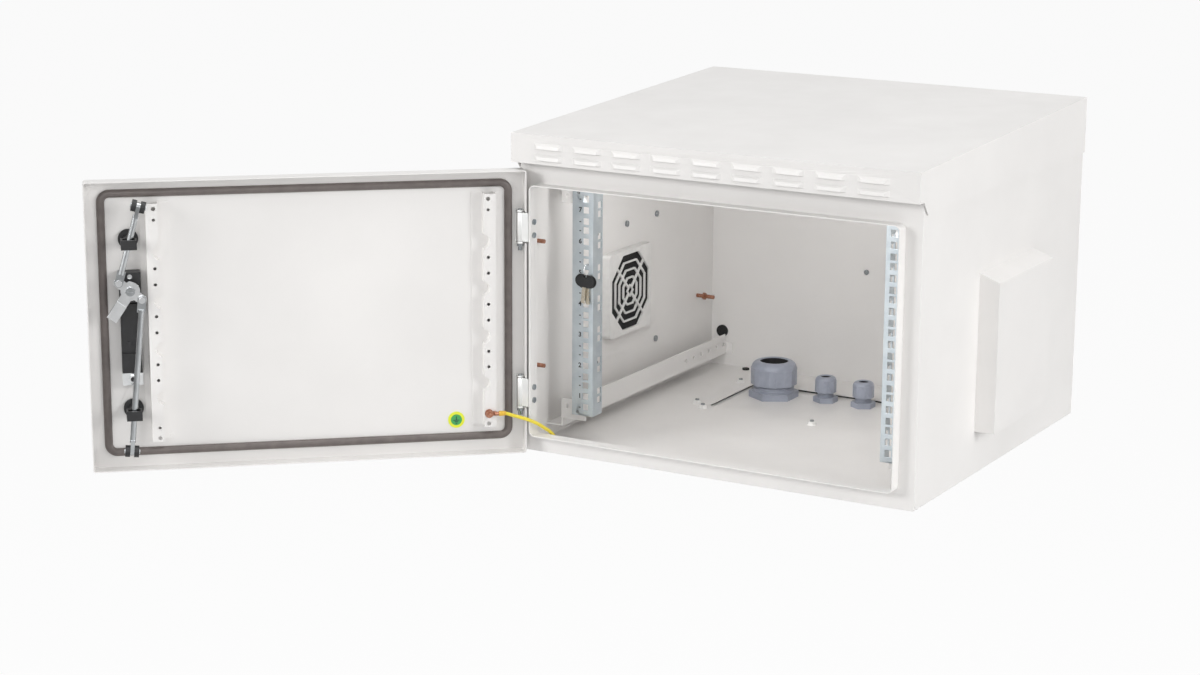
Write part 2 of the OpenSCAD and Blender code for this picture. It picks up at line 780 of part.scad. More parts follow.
// Rack rail drawn on the right: front flange with square holes, side flange with pairs of slots
module rail() {
    difference() {
        union() {
            translate([rail_in, rack_y, rail_low]) cube([rail_w, rail_t, rail_h]);
            translate([rail_in, rack_y, rail_low]) cube([rail_t, rail_side, rail_h]);
        }
        for (u = [0 : rack_units - 1], s = rack_steps)
            translate([hole_x - rack_hole / 2, rack_y - past, rack_z + u * rack_pitch + s - rack_hole / 2])
                cube([rack_hole, rail_t + 2 * past, rack_hole]);
        for (u = [0 : rack_units - 1], s = [9.5, 22.2])
            translate([rail_in - past, rack_y + 13.5, rack_z + u * rack_pitch + s - 5])
                cube([rail_t + 2 * past, 10.5, 9.5]);
        for (z = [bolt_low, rail_low + rail_h - 4.5])
            bar_y(bolt_x, rack_y - past, z, 2.5 + slack, rail_t + 2 * past);
    }
}

module left_rail() {
    color(zinc) placed() mirror([1, 0, 0]) rail();
}

module right_rail() {
    color(zinc) placed() rail();
}

// Runner drawn on the lower right: web, foot to the side wall, front tab and back flange
module runner() {
    tab_x = rail_in + 12;
    notch_z = min(fix_z, 2 * rack_mid - fix_z - fix_h) - 11;
    difference() {
        union() {
            translate([runner_x - 2, runner_y, runner_low]) cube([2, body_d - sheet - runner_y, runner_h]);
            translate([runner_x - weld, runner_y, runner_low])
                cube([inner_w - runner_x + weld, body_d - sheet - runner_y - 60, 1.5]);
            translate([tab_x, runner_y, runner_low + 12]) cube([runner_x - tab_x, 2, runner_h - 2.5]);
            translate([runner_x - 12, body_d - sheet - 2, runner_low]) cube([12, 2, runner_h]);
        }
        translate([runner_x - 12 - past, body_d - sheet - 6, notch_z]) cube([12 + 2 * past, 8, runner_h]);
        for (i = [0 : 5])
            bar_x(runner_x - 2 - past, 438 + 25 * i + (body_d - 576), runner_low + 15.8, 3, 2 + 2 * past);
        translate([rail_out + 7, runner_y - past, runner_low + 27]) cube([4, 2 + 2 * past, 7]);
        bar_y(bolt_x, runner_y - past, bolt_low, 2.5 + slack, 2 + 2 * past);
    }
}

// Mirrors a lower piece about the middle height of the rack
module upper() {
    translate([0, 0, 2 * rack_mid]) mirror([0, 0, 1]) children();
}

module lower_runners() {
    color(white) placed() for (side = [0, 1]) mirror([side, 0, 0]) runner();
}

module upper_runners() {
    color(white) placed() upper() for (side = [0, 1]) mirror([side, 0, 0]) runner();
}

// Bolt from behind the tab, its end flush with the front of the rail
module rail_bolt() {
    bar_y(bolt_x, rack_y + 0.2, bolt_low, 2.5, rail_t + 2 + weld);
    translate([bolt_x, runner_y + 2, bolt_low]) rotate([-90, 0, 0]) cylinder(r = 4.6, h = 3.5, $fn = 6);
}

module rail_bolts() {
    color(steel) placed() for (side = [0, 1]) mirror([side, 0, 0]) {
        rail_bolt();
        upper() rail_bolt();
    }
}

// Stepped rubber bushes in the four wall-fixing holes, and the plug of the drain hole
module wall_grommets() {
    color(black) placed() translate([-231, body_d - 14, 0]) {
        cylinder(r = 4, h = sheet + weld);
        translate([0, 0, sheet]) cylinder(r = 5.5, h = 2.5);
    }
    color(black) placed() for (x = [-1, 1], z = [0, 1])
        translate([x * fix_w / 2, body_d, fix_z + z * fix_h]) rotate([90, 0, 0]) difference() {
            union() {
                cylinder(r = 7, h = sheet + weld);
                translate([0, 0, sheet]) cylinder(r = 9.5, h = 3);
            }
            translate([0, 0, -past]) cylinder(r = fix_bore / 2, h = 8);
        }
}

// Threaded earth studs: two beside the collar, one near the back and one on the floor
module earth_studs() {
    color(copper) placed() {
        for (z = [112, 290.5]) bar_x(-inner_w, 42, z, 3, 12);
        bar_x(-inner_w, body_d - 53, 120.5, 3, 29.5);
        translate([-inner_w + 11, body_d - 53, 120.5]) rotate([0, 90, 0]) cylinder(r = 5.6, h = 4, $fn = 6);
        translate([lead_stud[0], lead_stud[1], sheet]) cylinder(r = 3, h = 10);
    }
}

// Plate that closes a spare opening on the back wall
module back_cover_plate() {
    color(white) placed() upright(body_d - 2 * sheet, sheet) translate([-17, 189])
        translate([125, 88]) polygon(round_rect(250, 176, 3));
}

ring_at = [-rack_holes / 2 + 2.5, rack_y - 1.5, rack_z + 4 * rack_pitch + 21];
ring_r = 8;
wire_r = 0.9;
key_hole_r = 2.6;
key_t = 2.6;
keys_y = [ring_at[1] - 1.5, ring_at[1] - 4.9];

// Height of the ring wire below its middle at a distance y from the middle
function wire_z(y) = ring_at[2] - sqrt(ring_r * ring_r - pow(y - ring_at[1], 2));

module key_ring() {
    color(steel) placed() translate(ring_at) rotate([0, 90, 0]) rotate_extrude()
        translate([ring_r, 0]) circle(r = wire_r, $fn = 16);
}

// Places of the two keys, each hanging on the ring wire
module at_keys() {
    for (i = [0, 1])
        translate([ring_at[0] + wire_r - 0.4, keys_y[i], wire_z(keys_y[i]) + wire_r + 0.3 - key_hole_r])
            rotate([0, i * 9 - 3, 0]) children();
}

module key_bows() {
    color(black) placed() at_keys() rotate([90, 0, 0]) translate([0, 0, -key_t / 2]) difference() {
        union() {
            translate([-6, -7.2]) cylinder(r = 9, h = key_t);
            translate([6, -7.2]) cylinder(r = 9, h = key_t);
            translate([-6, -16.2, 0]) cube([12, 18, key_t]);
        }
        translate([0, 0, -past]) cylinder(r = key_hole_r, h = key_t + 2 * past);
        translate([-3.3, -18, key_t / 2 - 0.9]) cube([6.6, 9, 1.8]);
    }
}

module key_blades() {
    color(brass) placed() at_keys() rotate([90, 0, 0]) linear_extrude(1.4, center = true) difference() {
        translate([-3, -39.5]) square([6, 30]);
        for (k = [0 : 3]) translate([3, -36 + 5 * k]) circle(r = 1.5, $fn = 4);
        translate([-3, -39.5]) circle(r = 2, $fn = 4);
    }
}

// Ring terminal: a flat eye with a barrel that grips the lead
module terminal(barrel) {
    difference() {
        union() {
            cylinder(r = 6, h = 2);
            translate([-3, -9, 0]) cube([6, 9, 2]);
        }
        translate([0, 0, -past]) cylinder(r = 3 + slack, h = 4);
    }
    translate([0, -7, barrel_up]) rotate([90, 0, 0]) cylinder(r = 2.9, h = barrel);
}

module floor_terminal() {
    color(copper) placed() translate([lead_stud[0], lead_stud[1], sheet + 2.5]) rotate(-lead_turn) {
        terminal(9.8);
        translate([0, 0, 2.2]) difference() {
            cylinder(r = 5.6, h = 3.6, $fn = 6);
            translate([0, 0, -past]) cylinder(r = 3 + slack, h = 6);
        }
    }
}

// Fixed hinge halves on the outside of the collar, each with an arm and a knuckle
module hinge_bases() {
    plate_x = -collar_out;
    color(zinc) placed() for (z = hinge_z) difference() {
        union() {
            translate([plate_x - 3, pivot_y - 1, z + arm_low]) cube([3, pivot_y * -1 - 0.5, hinge_h - 2 * arm_low]);
            translate([pivot_x, pivot_y - 2.4, z + arm_low])
                cube([plate_x - pivot_x - 1, 5.4, hinge_h - 2 * arm_low]);
            translate([pivot_x, pivot_y, z + arm_low]) cylinder(r = knuckle_r, h = hinge_h - 2 * arm_low);
        }
        translate([pivot_x, pivot_y, z]) cylinder(r = pin_d / 2 + run_gap, h = hinge_h);
        for (dz = screw_levels) bar_x(plate_x - 4, pivot_y + 8, z + dz, 2 + slack, 5);
    }
}

module hinge_screws() {
    color(steel) placed() for (z = hinge_z, dz = screw_levels) {
        bar_x(-opening_x, pivot_y + 8, z + dz, 4, 2.2);
        bar_x(-collar_out - 2.8, pivot_y + 8, z + dz, 2, sheet + 2.8 + weld);
    }
}

// Door pan: sheet with folded edges, notched at the hinges and cut out for the lock
module door_panel() {
    color(white) on_door() difference() {
        translate([0, 0, (door_z + door_top) / 2]) difference() {
            upright(-door_front, door_edge) polygon(round_rect(door_w, door_h, 3, 3));
            upright(door_in, door_edge) polygon(round_rect(door_w - 2 * sheet, door_h - 2 * sheet, 2.2, 3));
        }
        for (z = hinge_z) translate([-door_x - past, pivot_y - 6.5, z + arm_low - 1.5])
            cube([sheet + 2 * past, 30, hinge_h - 2 * arm_low + 3]);
        translate([lock_x - box_w / 2 - 0.5, -door_front - past, lock_z - 117])
            cube([box_w + 1, sheet + 2 * past, 96]);
        bar_y(lock_x, -door_front - past, lock_z, 10, sheet + 2 * past);
        bar_y(lock_x, -door_front - past, lock_z - 124.8, 3 + slack, sheet + 2 * past);
    }
}

// Section of the gasket: a flat foot with a round back
module bead_section() {
    intersection() {
        translate([-seal_w, 0]) square([2 * seal_w, seal_h]);
        union() {
            translate([-seal_w / 2, 0]) square([seal_w, seal_h - seal_w / 2]);
            translate([0, seal_h - seal_w / 2]) circle(r = seal_w / 2);
        }
    }
}

// Closed rubber bead that presses on the collar, with four round corners
module door_gasket() {
    corner = 12;
    low = seal_low + corner;
    high = seal_top - corner;
    color(dark_rubber) on_door() translate([0, door_in, 0]) {
        for (x = [-seal_x, seal_x]) translate([x, 0, low]) linear_extrude(high - low) bead_section();
        for (z = [seal_low, seal_top]) translate([0, 0, z]) along_x(corner - seal_x, 2 * (seal_x - corner))
            mirror([1, -1, 0]) bead_section();
        for (c = [[1, high, -90], [-1, high, 180], [-1, low, 90], [1, low, 0]])
            translate([c[0] * (seal_x - corner), 0, c[1]]) rotate([-90, 0, 0]) rotate([0, 0, c[2]])
                rotate_extrude(angle = 90) translate([corner, 0]) bead_section();
    }
}

// Seen from the front: the raised strip of a stiffener, drawn in by a wall, with its half-round scallops
module stiffener_strip(wall) {
    difference() {
        translate([wall - stiff_w, -wall]) square([stiff_w - 2 * wall, stiff_l + 2 * wall]);
        for (z = notch_levels) translate([-stiff_w - 2.4, z]) circle(r = notch_r + wall);
    }
}

// Pressed stiffener: a raised strip with fixing holes and scallops, and a foot on both sides
module stiffener() {
    difference() {
        union() {
            upright(0, stiff_h) stiffener_strip(0);
            upright(0, sheet) translate([-stiff_w - stiff_foot, 0]) square([stiff_w + stiff_foot + 8, stiff_l]);
            for (z = [5, stiff_l - 5]) bar_y(-stiff_w - stiff_foot + 4, sheet - weld, z, 3, 0.5 + weld);
        }
        upright(-past, stiff_h - sheet + past) stiffener_strip(sheet);
        for (i = [0 : 9]) bar_y(-hole_in, stiff_h - 5, hole_levels[i], i % 9 == 0 ? 2.9 : 2.2, 8);
    }
}

module door_stiffeners() {
    color(white) on_door() {
        translate([217, door_in, stiff_z]) stiffener();
        translate([-256, door_in, stiff_z]) mirror([1, 0, 0]) stiffener();
    }
}

// Moving hinge halves: a web on the door and two ears round the pin
module hinge_leaves() {
    web_l = 11.5;
    color(zinc) on_door() for (z = hinge_z) {
        translate([pivot_x - 5, door_in, z]) cube([web_l, 2, hinge_h]);
        for (dz = [arm_low - ear_t - 0.3, hinge_h - arm_low + 0.3]) difference() {
            union() {
                translate([pivot_x - 5, door_in, z + dz]) cube([10, pivot_y - door_in, ear_t]);
                translate([pivot_x, pivot_y, z + dz]) cylinder(r = knuckle_r, h = ear_t);
            }
            translate([pivot_x, pivot_y, z + dz - past]) cylinder(r = pin_d / 2 + run_gap, h = ear_t + 2 * past);
        }
    }
}

module hinge_pins() {
    color(steel) on_door() for (z = hinge_z) {
        translate([pivot_x, pivot_y, z - pin_tail]) cylinder(r = pin_d / 2, h = hinge_h + pin_tail + 1);
        translate([pivot_x, pivot_y, z - 3]) cylinder(r = 4.4, h = 3.2);
    }
}

// Outer dish of the swing handle, with its box through the door
module handle_dish() {
    color(black) on_door() difference() {
        union() {
            translate([lock_x, 0, lock_z - 54]) upright(dish_y, 8) polygon(round_rect(32, 168, 8));
            translate([lock_x - box_w / 2, -door_front - weld, lock_z - 116.5]) cube([box_w, 15 + weld, 95]);
            translate([lock_x - box_w / 2, -door_front + 14, lock_z - 116.5]) cube([box_w, 4, 27]);
            bar_y(lock_x + 3, -door_front + 14, lock_z - 76, 3, 2.4);
            bar_y(lock_x, -door_front - weld, lock_z - 124.8, 3, 19 + weld);
        }
        translate([lock_x - 12.5, dish_y - past, lock_z - 134]) cube([25, 6.5 + past, 113]);
        translate([lock_x - box_w / 2 + 1.6, dish_y, lock_z - 114]) cube([box_w - 3.2, 21.5, 90]);
        bar_y(lock_x, dish_y - past, lock_z, 7 + run_gap, 20);
    }
}

// Bearing block of the spindle inside the door
module lock_housing() {
    color(black) on_door() difference() {
        union() {
            translate([lock_x - 14.4, door_in, lock_z - 18.5]) cube([28.8, 20, 41.4]);
            bar_y(lock_x, door_in + 20 - weld, lock_z, 11, 6 + weld);
        }
        bar_y(lock_x, door_in - past, lock_z, 7 + run_gap, 30);
    }
}

// Zinc bridge that clamps the lower end of the handle box
module lock_bracket() {
    z0 = lock_z - 133.8;
    color(zinc) on_door() difference() {
        translate([lock_x - 13.7, door_in, z0]) difference() {
            cube([27.4, 15.3, 16.8]);
            translate([2, -past, -past]) cube([23.4, 14.7, 16.8 + 2 * past]);
        }
        bar_y(lock_x, door_in, lock_z - 124.8, 3 + slack, 20);
    }
}

module lock_nuts() {
    color(steel) on_door() {
        translate([lock_x, door_in + 15.3, lock_z - 124.8]) rotate([-90, 0, 0]) difference() {
            cylinder(r = 5.6, h = 4, $fn = 6);
            translate([0, 0, -past]) cylinder(r = 3 + slack, h = 6);
        }
        bar_y(lock_x, door_in + 20, lock_z + 17.5, 3.2, 2);
    }
}

// Posts on the door whose square ends guide the rods
module rod_guides() {
    slot_w = rod_d + 8.4;
    color(steel) on_door() for (z = guide_levels) difference() {
        union() {
            bar_y(guide_x, door_in, z, 13.5, 3.5);
            bar_y(guide_x, door_in, z, 7, 30);
            translate([guide_x - 10.5, 3, z - 6.5]) cube([21, 19.5, 13]);
        }
        translate([guide_x - slot_w / 2, rod_y - rod_d / 2 - 2, z - 7]) cube([slot_w, rod_d + 4, 14]);
    }
}

module earth_disc() {
    color(pale_grey) on_door() bar_y(disc_at[0], door_in, disc_at[1], 11.5, 1);
}

module door_terminal() {
    color(copper) on_door() translate([door_stud[0], stiff_top, door_stud[1]])
        rotate([-90, 0, 0]) rotate([0, 0, -90]) {
        translate([0, 0, 0.2]) terminal(9.4);
        translate([0, 0, 2.4]) cylinder(r = 5.6, h = 3.6, $fn = 6);
        translate([0, 0, -3]) cylinder(r = 2, h = 11);
    }
}

// Spindle from the handle to the cam, with a forked head for the lever
module lock_spindle() {
    color(steel) on_latch() difference() {
        union() {
            bar_y(0, dish_y - slack, 0, 7, cam_y - dish_y + slack);
            translate([-4.8, cam_y - weld, -4.8]) cube([9.6, cam_t + weld + 0.4, 9.6]);
            bar_y(0, cam_y + cam_t + 0.4, 0, 6, 3.2);
            bar_x(-head_w / 2, lever_pin_y, 0, 5.7, head_w);
            translate([-head_w / 2 + 2, lever_pin_y, -5.7]) cube([head_w - 4, dish_y - lever_pin_y, 11.4]);
        }
        bar_x(-head_w, lever_pin_y, 0, 2.5 + run_gap, 2 * head_w);
        for (a = [20, 110]) rotate([0, a, 0])
            translate([-4.2, cam_y + cam_t + 2.4, -0.7]) cube([8.4, 2, 1.4]);
    }
}

// Three-point cam: an upper and a lower rod pivot and a cranked tongue for the frame
module lock_cam() {
    crank = 2.5;
    color(zinc) on_latch() difference() {
        union() {
            upright(cam_y, cam_t) {
                circle(r = 13);
                for (a = [up_at, down_at]) rotate(a + latch_turn) {
                    translate([0, -6.5]) square([cam_r, 13]);
                    translate([cam_r, 0]) circle(r = 6.5);
                }
                rotate(tongue_at) translate([0, -tongue_w / 2]) square([24, tongue_w]);
            }
            rotate([0, -tongue_at, 0]) {
                translate([21, cam_y, -tongue_w / 2]) cube([3, cam_t + crank, tongue_w]);
                translate([21, cam_y + crank, -tongue_w / 2]) cube([tongue_l - 21, cam_t, tongue_w]);
            }
            for (a = [up_at + latch_turn, down_at + latch_turn]) {
                bar_y(cam_r * cos(a), cam_y + cam_t - weld, cam_r * sin(a), 3, tab_t + 1 + weld);
                bar_y(cam_r * cos(a), tab_y + tab_t + 0.2, cam_r * sin(a), 4.5, 1.6);
            }
        }
        translate([-5, cam_y - past, -5]) cube([10, cam_t + 2 * past, 10]);
    }
}

// Rod from a flattened eye at its pivot to a roller fork at its end, drawn upwards
module rod(l) {
    eye_l = 17;
    difference() {
        union() {
            bar_y(0, tab_y, 0, 5.6, tab_t);
            translate([-5.6, tab_y, 0]) cube([11.2, tab_t, eye_l]);
            translate([0, rod_y, eye_l - 4]) cylinder(r = rod_d / 2, h = l - eye_l - 8);
            translate([-2.6, rod_y - 5.5, l - 16]) cube([5.2, 11, 16]);
            bar_x(-2.6, rod_y, l, 5.5, 5.2);
            bar_x(-10.5, rod_y, l, 2, 21);
            for (x = [-10.5, 9.3]) bar_x(x, rod_y, l, 3.4, 1.2);
        }
        bar_y(0, tab_y - past, 0, 3 + run_gap, tab_t + 2 * past);
    }
}

// Turns a rod to its lean at a pivot given by its angle on the cam
module at_rod(angle, lean) {
    on_door() translate([lock_x + cam_r * cos(angle), 0, lock_z + cam_r * sin(angle)])
        rotate([0, lean, 0]) children();
}

module upper_rod() {
    color(steel) at_rod(up_at, -up_lean) rod(rod_up);
}

module lower_rod() {
    color(steel) at_rod(down_at, 180 - down_lean) rod(rod_down);
}

// Two wheels on the axle of a rod
module rollers(l) {
    for (x = [-9.1, 2.9]) difference() {
        bar_x(x, rod_y, l, roller_d / 2, 6.2);
        bar_x(x - past, rod_y, l, 2 + run_gap, 6.2 + 2 * past);
    }
}

module upper_rollers() {
    color(black) at_rod(up_at, -up_lean) rollers(rod_up);
}

module lower_rollers() {
    color(black) at_rod(down_at, 180 - down_lean) rollers(rod_down);
}

// Half width of the lever at a distance from its pin
function lever_half(s) = lever_w / 2 - 2.2 * sin(90 * s / lever_l);

// Swing lever with forked end, finger cut and lock cylinder
module handle_lever() {
    color(black) on_latch() translate([0, lever_pin_y, 0]) rotate([-handle_lift, 0, 0]) {
        difference() {
            union() {
                upright(-lever_t / 2, lever_t) polygon(concat(
                    [for (s = [0 : 5]) [lever_half(s * (lever_l - 11) / 5), -s * (lever_l - 11) / 5]],
                    [for (a = [0 : 15 : 180]) [10.8 * cos(a), -(lever_l - 11) - 10.8 * sin(a)]],
                    [for (s = [5 : -1 : 0]) [-lever_half(s * (lever_l - 11) / 5), -s * (lever_l - 11) / 5]]));
                bar_x(-lever_w / 2, 0, 0, lever_t / 2, lever_w);
            }
            translate([-head_w / 2 - 0.3, -lever_t, -9]) cube([head_w + 0.6, 2 * lever_t, 20]);
            bar_y(0, -lever_t, -cylinder_at, 8 + run_gap, 2 * lever_t);
            translate([0, lever_t / 2 + 8, -70]) rotate([0, 90, 0]) cylinder(r = 12, h = 60, center = true);
        }
        bar_x(-lever_w / 2 + 0.5, 0, 0, 2.5, lever_w - 1);
    }
}

// Turning plug of the lock in the end of the lever
module lock_cylinder() {
    color(steel) on_latch() translate([0, lever_pin_y, 0]) rotate([-handle_lift, 0, 0]) difference() {
        union() {
            bar_y(0, -lever_t / 2 - 0.6, -cylinder_at, 8, lever_t + 0.6);
            bar_y(0, -lever_t / 2 - 1.4, -cylinder_at, 9.4, 1.2);
        }
        translate([-0.9, -lever_t / 2 - 3, -cylinder_at - 4]) cube([1.8, 7, 8]);
    }
}

function unit(v) = v / norm(v);

// Direction of the lead at one of its points
function lead_way(i) = unit(lead_path[min(i + 1, len(lead_path) - 1)] - lead_path[max(i - 1, 0)]);

// Ring of points round one point of the lead
function lead_ring(i) = let(d = lead_way(i), s = unit(cross(d, [0, 0, 1])), u = cross(s, d))
    [for (k = [0 : lead_sides - 1]) lead_path[i]
        + lead_r * (cos(360 * k / lead_sides) * s + sin(360 * k / lead_sides) * u)];

// Earth lead from the door to the floor
module earth_lead() {
    n = lead_sides;
    rings = len(lead_path);
    color([0.8, 0.75, 0.2]) placed() polyhedron(
        points = [for (i = [0 : rings - 1]) each lead_ring(i)],
        faces = concat(
            [[for (k = [n - 1 : -1 : 0]) k]],
            [for (i = [0 : rings - 2], k = [0 : n - 1])
                [i * n + k, i * n + (k + 1) % n, (i + 1) * n + (k + 1) % n, (i + 1) * n + k]],
            [[for (k = [0 : n - 1]) (rings - 1) * n + k]]));
}

cabinet_body();
rain_roof();
roof_brackets();
right_hood();
left_hood();
wall_screws();
fan_frame();
fan_rotor();
fan_screws();
fan_guard();
fan_filter();
vent_guard();
vent_filter();
gland_plate();
gland_plate_gasket();
gland_plate_screws();
gland_plate_nuts();
large_gland_body();
large_gland_cap();
large_gland_seal();
large_gland_locknut();
small_gland_bodies();
small_gland_caps();
small_gland_seals();
small_gland_locknuts();
left_rail();
right_rail();
lower_runners();
upper_runners();
rail_bolts();
wall_grommets();
earth_studs();
back_cover_plate();
key_ring();
key_bows();
key_blades();
floor_terminal();
earth_lead();
hinge_bases();
hinge_screws();
door_panel();
door_gasket();
door_stiffeners();
hinge_leaves();
hinge_pins();
handle_dish();
lock_housing();
lock_bracket();
lock_nuts();
rod_guides();
earth_disc();
door_terminal();
lock_spindle();
lock_cam();
upper_rod();
lower_rod();
upper_rollers();
lower_rollers();
handle_lever();
lock_cylinder();
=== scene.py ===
"""Looks of a wall-mounted outdoor network cabinet with its door open."""

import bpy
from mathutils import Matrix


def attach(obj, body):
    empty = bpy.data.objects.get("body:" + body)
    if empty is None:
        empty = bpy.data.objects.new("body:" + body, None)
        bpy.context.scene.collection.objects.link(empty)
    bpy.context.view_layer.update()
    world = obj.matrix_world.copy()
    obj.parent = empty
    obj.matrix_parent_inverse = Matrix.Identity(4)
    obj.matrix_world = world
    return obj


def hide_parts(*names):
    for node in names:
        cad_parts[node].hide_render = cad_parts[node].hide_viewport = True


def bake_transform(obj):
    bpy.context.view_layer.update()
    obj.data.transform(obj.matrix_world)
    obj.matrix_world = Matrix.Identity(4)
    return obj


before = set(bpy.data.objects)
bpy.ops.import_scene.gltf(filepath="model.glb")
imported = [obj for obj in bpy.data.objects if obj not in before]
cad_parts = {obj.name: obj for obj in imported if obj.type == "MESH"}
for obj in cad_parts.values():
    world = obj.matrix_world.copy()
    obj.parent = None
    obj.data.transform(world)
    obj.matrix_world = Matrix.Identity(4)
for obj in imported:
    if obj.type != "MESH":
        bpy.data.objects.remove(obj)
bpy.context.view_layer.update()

import math

import bmesh
import bpy
from mathutils import Matrix, Vector

MM = 0.001

# Places in the cabinet's own coordinates: middle at x 0, front face at y 0 and floor at z 0
BODY_D = 576 * MM
HANG_Z = 206 * MM
HINGE = Vector((-291 * MM, -16 * MM, 0))
DOOR_OPEN = math.radians(139.2)

# Figures printed on the rack rails, beside the three square holes of each rack unit
RACK_Y = 63.5 * MM
RACK_Z = 53.7 * MM
RACK_UNIT = 44.45 * MM
RACK_UNITS = 7
UNIT_HOLES = (0, 15.875 * MM, 31.75 * MM)
NUMBER_X = 241.6 * MM
FIGURE_HEIGHT = 9.5 * MM
FIGURE_BOLD = 0.285 * MM
FIGURE_INK = 0.04 * MM
FIGURE_PROUD = 0.02 * MM

# Black discs in the four wall-fixing grommets: painted shade, a dark sheet where the holes are only dark
FIXING_X, FIXING_Z = 279 * MM, (56 * MM, 356 * MM)
SHADE_DISC_IN = 4 * MM
SHADE_DISC_R = 4.45 * MM
SHADE_DISC_T = 0.6 * MM

# Round earthing label and the lead's barrel, both on the inner face of the closed door
DISC = Vector((-202 * MM, -24.5 * MM, 48 * MM))
FIELD_R = 7.8 * MM
FIELD_INK = 0.06 * MM
SIGN_INK = 0.12 * MM
DOOR_BARREL = Vector((-256 * MM, -4.3 * MM, 59.8 * MM))

# Upright and three bars of the earth sign, in millimetres: x, z, width and height
EARTH_SIGN = ((0, 2.4, 1.3, 5.2), (0, -0.6, 8.6, 1.3), (0, -2.8, 5.4, 1.3), (0, -5, 2.4, 1.3))

# Sleeve over the barrel, in millimetres: distance along it and radius
BOOT_PROFILE = ((3, 3.0), (3, 3.7), (8, 3.6), (12.5, 2.9), (12.5, 2.6))

# The route of the earth lead, as the part has it, in millimetres
LEAD_DIAMETER = 5 * MM
LEAD_PATH = [(-305.2, -43.7, 59.8), (-302.2, -41.1, 59.8), (-298.5, -37.8, 58.8), (-291.5, -33, 56),
             (-282.5, -28.5, 53.5), (-273.5, -24, 50.5), (-267, -18, 46.5), (-262.5, -11, 41.5),
             (-259, -4, 36), (-256.5, 3, 31), (-254.3, 8.5, 25.6), (-252.3, 13.2, 19.6),
             (-250.2, 17.4, 13.2), (-248.3, 20.8, 8.6), (-245.8, 25.1, 7), (-244.5, 27.3, 7)]

# Floor below the cabinet, in metres, and how much of it the camera sees as plain white
FLOOR_HALF = 12
FLOOR_Z = -0.95
FLOOR_WHITE = 0.94

# Light of the pale world on the object, where 1 is a white background
AMBIENT = 0.25

# Lamps in metres and watts: place, point aimed at, width, height and power
LAMPS = {
    "front": ((1.3, -4.2, 1.3), (0, -0.3, 0), 2.2, 2.2, 30),
    "left": ((-2.7, -3.9, 1.5), (0.1, -0.5, 0.1), 1.6, 1.6, 86),
    "right": ((4.0, -0.8, 1.2), (0, -0.3, 0), 2.0, 2.0, 92),
    "top": ((0.3, -0.6, 3.2), (0, -0.3, 0), 2.4, 2.4, 42),
    "inside": ((0, -0.531, 0.186), (0, 0, 0.02), 0.46, 0.02, 0.76),
}

# The finish of each CAD node, by the names that make_materials gives
CAD_LOOKS = {
    "powder": ["cabinet_body", "rain_roof", "roof_brackets", "right_hood", "left_hood", "gland_plate",
               "lower_runners", "upper_runners", "back_cover_plate", "door_panel", "door_stiffeners"],
    "blue_zinc": ["left_rail", "right_rail"],
    "pale_zinc": ["hinge_bases", "hinge_leaves"],
    # The lock parts and the rods share one zinc plate: the lock parts' lighter copy is a painted highlight
    "zinc_painted_highlight": ["lock_nuts", "key_ring", "lock_cylinder", "lock_cam", "lock_bracket"],
    "screw_zinc": ["wall_screws", "fan_screws", "gland_plate_screws", "rail_bolts", "hinge_screws",
                   "hinge_pins"],
    # The rods' darker copy of the same zinc plate is a painted dark reflection
    "zinc_painted_dark_reflection": ["lock_spindle", "upper_rod", "lower_rod"],
    "black_nylon": ["fan_frame", "fan_rotor", "handle_dish", "lock_housing", "handle_lever", "key_bows",
                    "upper_rollers", "lower_rollers", "rod_guides"],
    "guard_abs": ["fan_guard", "vent_guard"],
    "white_nylon": ["gland_plate_nuts"],
    "foam": ["fan_filter", "vent_filter"],
    "gland_nylon": ["large_gland_body", "large_gland_cap", "large_gland_locknut", "small_gland_bodies",
                    "small_gland_caps", "small_gland_locknuts"],
    "rubber": ["gland_plate_gasket", "large_gland_seal", "small_gland_seals", "wall_grommets"],
    "gasket": ["door_gasket"],
    "brass": ["key_blades"],
    "copper": ["earth_studs", "floor_terminal", "door_terminal"],
    "label": ["earth_disc"],
}

# Width in millimetres of the small rounded edge of each piece that shows one
EDGE_ROUNDS = {"rain_roof": 1.0, "cabinet_body": 0.5, "right_hood": 1.0, "left_hood": 1.0, "door_panel": 0.6,
               "door_stiffeners": 0.5, "door_gasket": 1.8, "fan_guard": 0.5, "vent_guard": 0.5,
               "large_gland_cap": 1.0, "large_gland_body": 0.8, "small_gland_caps": 0.6,
               "small_gland_bodies": 0.5, "handle_lever": 1.2, "handle_dish": 0.8, "lock_cam": 0.4,
               "lower_runners": 0.4, "left_rail": 0.4, "right_rail": 0.4, "hinge_bases": 0.4,
               "hinge_leaves": 0.4, "key_bows": 0.6, "rod_guides": 0.6}
ROUNDED_FROM = math.radians(35)
WELD_WITHIN = 0.01 * MM


def placed(point):
    """A point in cabinet coordinates, moved to the wall-fixing origin."""
    return Vector(point) - Vector((0, BODY_D, HANG_Z))


def on_door(point):
    """The move of a piece made at the origin to a point of the closed door, and open with it."""
    turned = Matrix.Rotation(-DOOR_OPEN, 3, "Z") @ (Vector(point) - HINGE)
    return Matrix.Translation(placed(turned + HINGE)) @ Matrix.Rotation(-DOOR_OPEN, 4, "Z")


# The camera's place, direction and focal length, on a sensor 36 mm wide
CAMERA_AT = placed((1662.1 * MM, -3207.9 * MM, 1060.1 * MM))
AZIMUTH, ELEVATION, ROLL = math.radians(29.77), math.radians(13.46), math.radians(0.31)
FOCAL = 83.2
CLIP_END = 50


